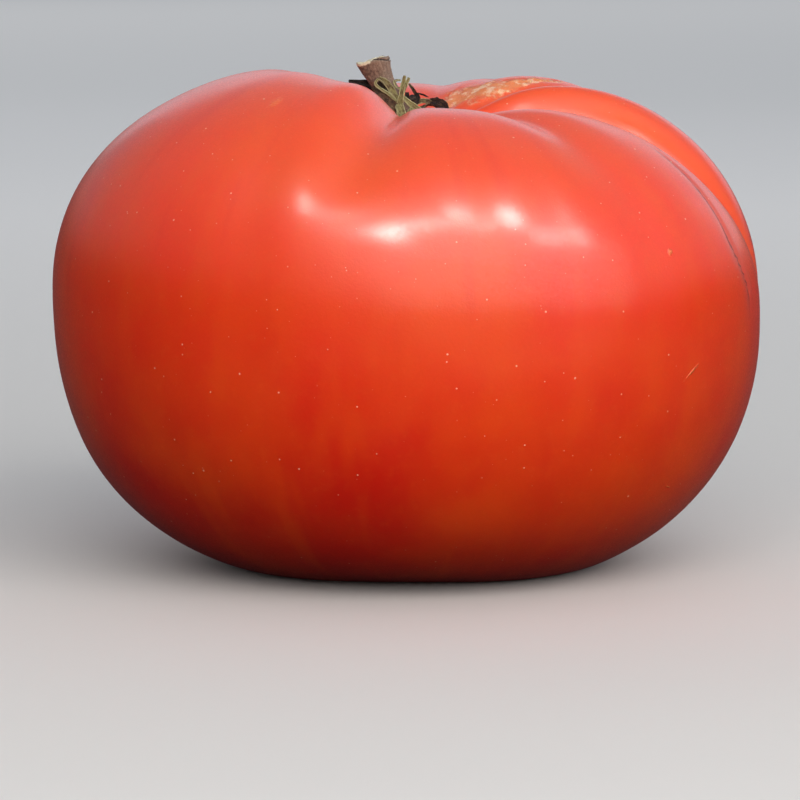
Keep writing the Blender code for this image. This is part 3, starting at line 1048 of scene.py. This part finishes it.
def sepal_material():
    material, tree, shader = new_material(
        "withered_leaf",
        {"Sheen Weight": 0.02, "Sheen Roughness": 0.5, "Specular IOR Level": 0.15},
    )
    place = put(tree, "ShaderNodeTexCoord").outputs["Object"]
    dryness = attribute(tree, "dryness")
    blotches = cloud(tree, place, 1900.0, 5.0, 0.75)
    veins = fibres(tree, 2.6, 0.35)
    worn = maths(tree, "ADD", dryness, maths(tree, "MULTIPLY_ADD", blotches, 1.9, -0.90))
    colour = blended(tree, spread(tree, worn, 0.06, 0.62), LEAF_OLIVE, LEAF_BROWN)
    colour = blended(tree, spread(tree, worn, 0.6, 0.95), colour, LEAF_BLACK)
    colour = blended(tree, spread(tree, veins, 0.52, 0.38, 0.0, 0.85), colour, LEAF_BROWN)
    green = maths(tree, "SUBTRACT", 1.0, spread(tree, dryness, 0.3, 0.8))
    # The pale rims are partly the leaf's own paler edge and partly a painted highlight along the
    # rolled edges. The pale veins are the leaf's own.
    edge = spread(tree, attribute(tree, "rim"), 0.70, 0.98)
    pale = maths(tree, "MAXIMUM", edge, spread(tree, veins, 0.58, 0.72))
    pale = maths(tree, "MULTIPLY", pale, green)
    colour = blended(tree, maths(tree, "MULTIPLY", pale, 0.55), colour, LEAF_EDGE_AND_HIGHLIGHT)
    dust = specks(tree, place, 2200.0, 0.10)
    colour = blended(tree, maths(tree, "MULTIPLY", dust, 0.5), colour, LEAF_DUST)
    tree.links.new(colour, shader.inputs["Base Color"])
    tree.links.new(spread(tree, blotches, 0.3, 0.7, 0.55, 0.85), shader.inputs["Roughness"])
    normal = bumped(tree, veins, 0.22 * MM)
    normal = bumped(tree, cloud(tree, place, 3000.0, 4.0, 0.7), 0.14 * MM, normal)
    tree.links.new(normal, shader.inputs["Normal"])
    return material


leaf = sepal_material()
for piece in sepals:
    piece.data.materials.clear()
    piece.data.materials.append(leaf)
print("material", leaf.name)

# %% The stem's material
BARK_LIGHT = (0.28, 0.19, 0.13)
BARK_BROWN = (0.165, 0.100, 0.068)
BARK_DARK = (0.060, 0.030, 0.022)
PITH_CREAM = (0.66, 0.60, 0.42)
CRACK_BLACK = (0.020, 0.012, 0.010)
BARK_DUST = (0.62, 0.54, 0.45)


def stem_material():
    material, tree, shader = new_material(
        "dry_stalk",
        {"Sheen Weight": 0.12, "Sheen Roughness": 0.6, "Specular IOR Level": 0.25},
    )
    place = put(tree, "ShaderNodeTexCoord").outputs["Object"]
    strands = fibres(tree, 3.6, 0.8)
    lumps = cloud(tree, place, 2600.0, 5.0, 0.75)
    side = attribute(tree, "left_side")
    grit = cloud(tree, place, 5200.0, 3.0, 0.7)
    pale = maths(tree, "MULTIPLY_ADD", grit, 0.6, maths(tree, "MULTIPLY", strands, 0.5))
    colour = blended(tree, spread(tree, pale, 0.48, 0.62), BARK_BROWN, BARK_LIGHT)
    # The bark is drawn darker towards its left side.
    dark = maths(tree, "ADD", lumps, maths(tree, "MULTIPLY_ADD", side, 0.22, -0.10))
    colour = blended(tree, spread(tree, dark, 0.50, 0.66, 0.0, 0.85), colour, BARK_DARK)
    crack = attribute(tree, "crack")
    colour = blended(tree, spread(tree, crack, 0.15, 0.7), colour, CRACK_BLACK)
    ragged = maths(tree, "MULTIPLY_ADD", lumps, 0.8, -0.4)
    broken = maths(tree, "ADD", attribute(tree, "broken"), ragged)
    colour = blended(tree, spread(tree, broken, 0.35, 0.6), colour, PITH_CREAM)
    dust = specks(tree, place, 2600.0, 0.20)
    colour = blended(tree, maths(tree, "MULTIPLY", dust, 0.6), colour, BARK_DUST)
    tree.links.new(colour, shader.inputs["Base Color"])
    tree.links.new(spread(tree, lumps, 0.3, 0.7, 0.7, 0.92), shader.inputs["Roughness"])
    normal = bumped(tree, strands, 0.10 * MM)
    normal = bumped(tree, lumps, 0.14 * MM, normal)
    tree.links.new(normal, shader.inputs["Normal"])
    return material


stem.data.materials.clear()
stem.data.materials.append(stem_material())
print("material", stem.data.materials[0].name)

# %% [markdown]
# ## Stage, light and camera
# The floor is plain and pale to the eye. A pale floor would throw much light up under the
# fruit, so for every other ray it is as dark and warm as old wood.

# %% The floor
FLOOR_PALE = (0.70, 0.685, 0.66)
FLOOR_FAR = (0.98, 0.96, 0.93)  # paler where less of the light reaches
FLOOR_BOUNCE = (0.06, 0.014, 0.003)
FLOOR_HALF_SIDE = 3


def floor():
    shape = bmesh.new()
    bmesh.ops.create_grid(shape, x_segments=1, y_segments=1, size=FLOOR_HALF_SIDE)
    mesh = bpy.data.meshes.new("floor")
    shape.to_mesh(mesh)
    shape.free()
    ground = bpy.data.objects.new("floor", mesh)
    bpy.context.collection.objects.link(ground)
    material, tree, shader = new_material("pale_floor", {"Roughness": 0.9})
    seen = put(tree, "ShaderNodeLightPath").outputs["Is Camera Ray"]
    place = put(tree, "ShaderNodeTexCoord").outputs["Object"]
    away = put(tree, "ShaderNodeSeparateXYZ", {0: place}).outputs[1]
    pale = blended(tree, spread(tree, away, 0.05, 0.7), FLOOR_PALE, FLOOR_FAR)
    tree.links.new(blended(tree, seen, FLOOR_BOUNCE, pale), shader.inputs["Base Color"])
    mesh.materials.append(material)


floor()
print("floor", FLOOR_PALE)

# %% [markdown]
# A glossy fruit shows its lights as much as its own shape, so the soft boxes are chosen by
# what they do in the skin, and each does one thing. Those for the shine are seen in the gloss
# alone: five small ones high in front for the soft spots on the front lobe, a low wide one for
# the veil under them, and three weak ones for the rims. Those for the fill light the flesh
# alone and leave no spot in the gloss.

# %% The soft boxes
COOL = (0.80, 0.88, 1.0)
LILAC = (0.93, 0.89, 1.0)
WARM = (1.0, 0.97, 0.93)
SHINE = {  # azimuth and elevation in degrees, distance, width and height in metres, power
    "left": (-36, 61, 0.7, 0.055, 0.15, 0.72, WARM),
    "middle": (-6, 50, 0.7, 0.080, 0.15, 1.75, WARM),
    "band": (15, 55, 0.7, 0.22, 0.09, 0.90, WARM),
    "right": (48, 57, 0.7, 0.15, 0.17, 2.30, WARM),
    "far_right": (60, 41, 0.7, 0.11, 0.16, 0.62, WARM),
    "veil": (33, 23, 1.0, 1.85, 0.80, 7.0, WARM),
    "right_rim": (108, 34, 1.0, 1.2, 0.9, 0.25, WARM),
    "left_rim": (-86, 40, 1.0, 1.2, 0.9, 0.35, LILAC),
    "behind": (166, 18, 1.2, 1.5, 0.5, 1.1, LILAC),
}
FILL = {
    "fill": (15, 29, 1.0, 1.6, 0.7, 13.2, WARM),
    "back_fill": (200, 28, 3.0, 4.8, 2.1, 14.0, WARM),
}
AIM = Vector((0, 0, 45)) * MM
WIDEST_ELLIPSE = 0.6


def soft_box(name, azimuth, elevation, distance, width, tall, power, colour):
    """An area light that looks at the fruit from a direction given in degrees."""
    data = bpy.data.lights.new(name, "AREA")
    data.shape = "RECTANGLE" if width > WIDEST_ELLIPSE else "ELLIPSE"
    data.size, data.size_y = width, tall
    data.energy = power
    data.color = colour
    light = bpy.data.objects.new(name, data)
    turn, lift = math.radians(azimuth), math.radians(elevation)
    level = Vector((math.sin(turn), -math.cos(turn), 0))
    out = level * math.cos(lift) + Vector((0, 0, math.sin(lift)))
    light.location = AIM + out * distance
    light.rotation_euler = out.to_track_quat("Z", "Y").to_euler()
    light.visible_camera = False
    bpy.context.collection.objects.link(light)
    return light


for name, values in SHINE.items():
    soft_box(name, *values).visible_diffuse = False
for name, values in FILL.items():
    soft_box(name, *values).visible_glossy = False
print(len(bpy.data.lights), "lights")

# %% [markdown]
# The walls and the ceiling give the light that has no direction. They are warm and dark near
# the floor and cool and bright above, and a little brighter on the right. What the camera sees
# of them is one plain grey.

# %% The studio's walls and ceiling
BACKDROP = (0.62, 0.64, 0.66, 1)
LOW_WARM = (1.0, 0.84, 0.70)
CEILING = 0.48
LOW_WALL = 0.03


def studio():
    world = bpy.data.worlds.new("studio")
    bpy.context.scene.world = world
    world.use_nodes = True
    tree = world.node_tree
    lit = tree.nodes["Background"]
    towards = put(tree, "ShaderNodeTexCoord").outputs["Generated"]
    way = put(tree, "ShaderNodeSeparateXYZ", {0: towards})
    rising = spread(tree, way.outputs[2], -0.04, 0.22, LOW_WALL, CEILING)
    sideways = spread(tree, way.outputs[0], -0.9, 0.9, 0.60, 1.02)
    colour = blended(tree, spread(tree, way.outputs[2], 0.0, 0.3), LOW_WARM, COOL)
    tree.links.new(colour, lit.inputs["Color"])
    tree.links.new(maths(tree, "MULTIPLY", rising, sideways), lit.inputs["Strength"])
    plain = put(tree, "ShaderNodeBackground", {"Color": BACKDROP, "Strength": 1.0})
    seen = put(tree, "ShaderNodeLightPath").outputs["Is Camera Ray"]
    both = put(tree, "ShaderNodeMixShader", {0: seen, 1: lit.outputs[0], 2: plain.outputs[0]})
    tree.links.new(both.outputs[0], tree.nodes["World Output"].inputs["Surface"])


studio()
print("world", bpy.context.scene.world.name)

# %% [markdown]
# The camera stands a little above the table and far back with a long lens, so the fruit keeps
# its true proportions.

# %% Camera
CAMERA_DISTANCE = 0.56
CAMERA_ELEVATION = 7.5
CAMERA_TARGET = Vector((-1.0, 0.0, 23.8)) * MM
CAMERA_LENS = 174


def place_camera():
    data = bpy.data.cameras.new("camera")
    data.lens = CAMERA_LENS
    data.sensor_width = 36
    camera = bpy.data.objects.new("camera", data)
    lift = math.radians(CAMERA_ELEVATION)
    back = Vector((0, -math.cos(lift), math.sin(lift)))
    camera.location = CAMERA_TARGET + back * CAMERA_DISTANCE
    camera.rotation_euler = (math.pi / 2 - lift, 0, 0)
    bpy.context.collection.objects.link(camera)
    bpy.context.scene.camera = camera


place_camera()
bpy.context.scene.view_settings.view_transform = "Standard"
print("camera at", [round(c, 3) for c in bpy.context.scene.camera.location])
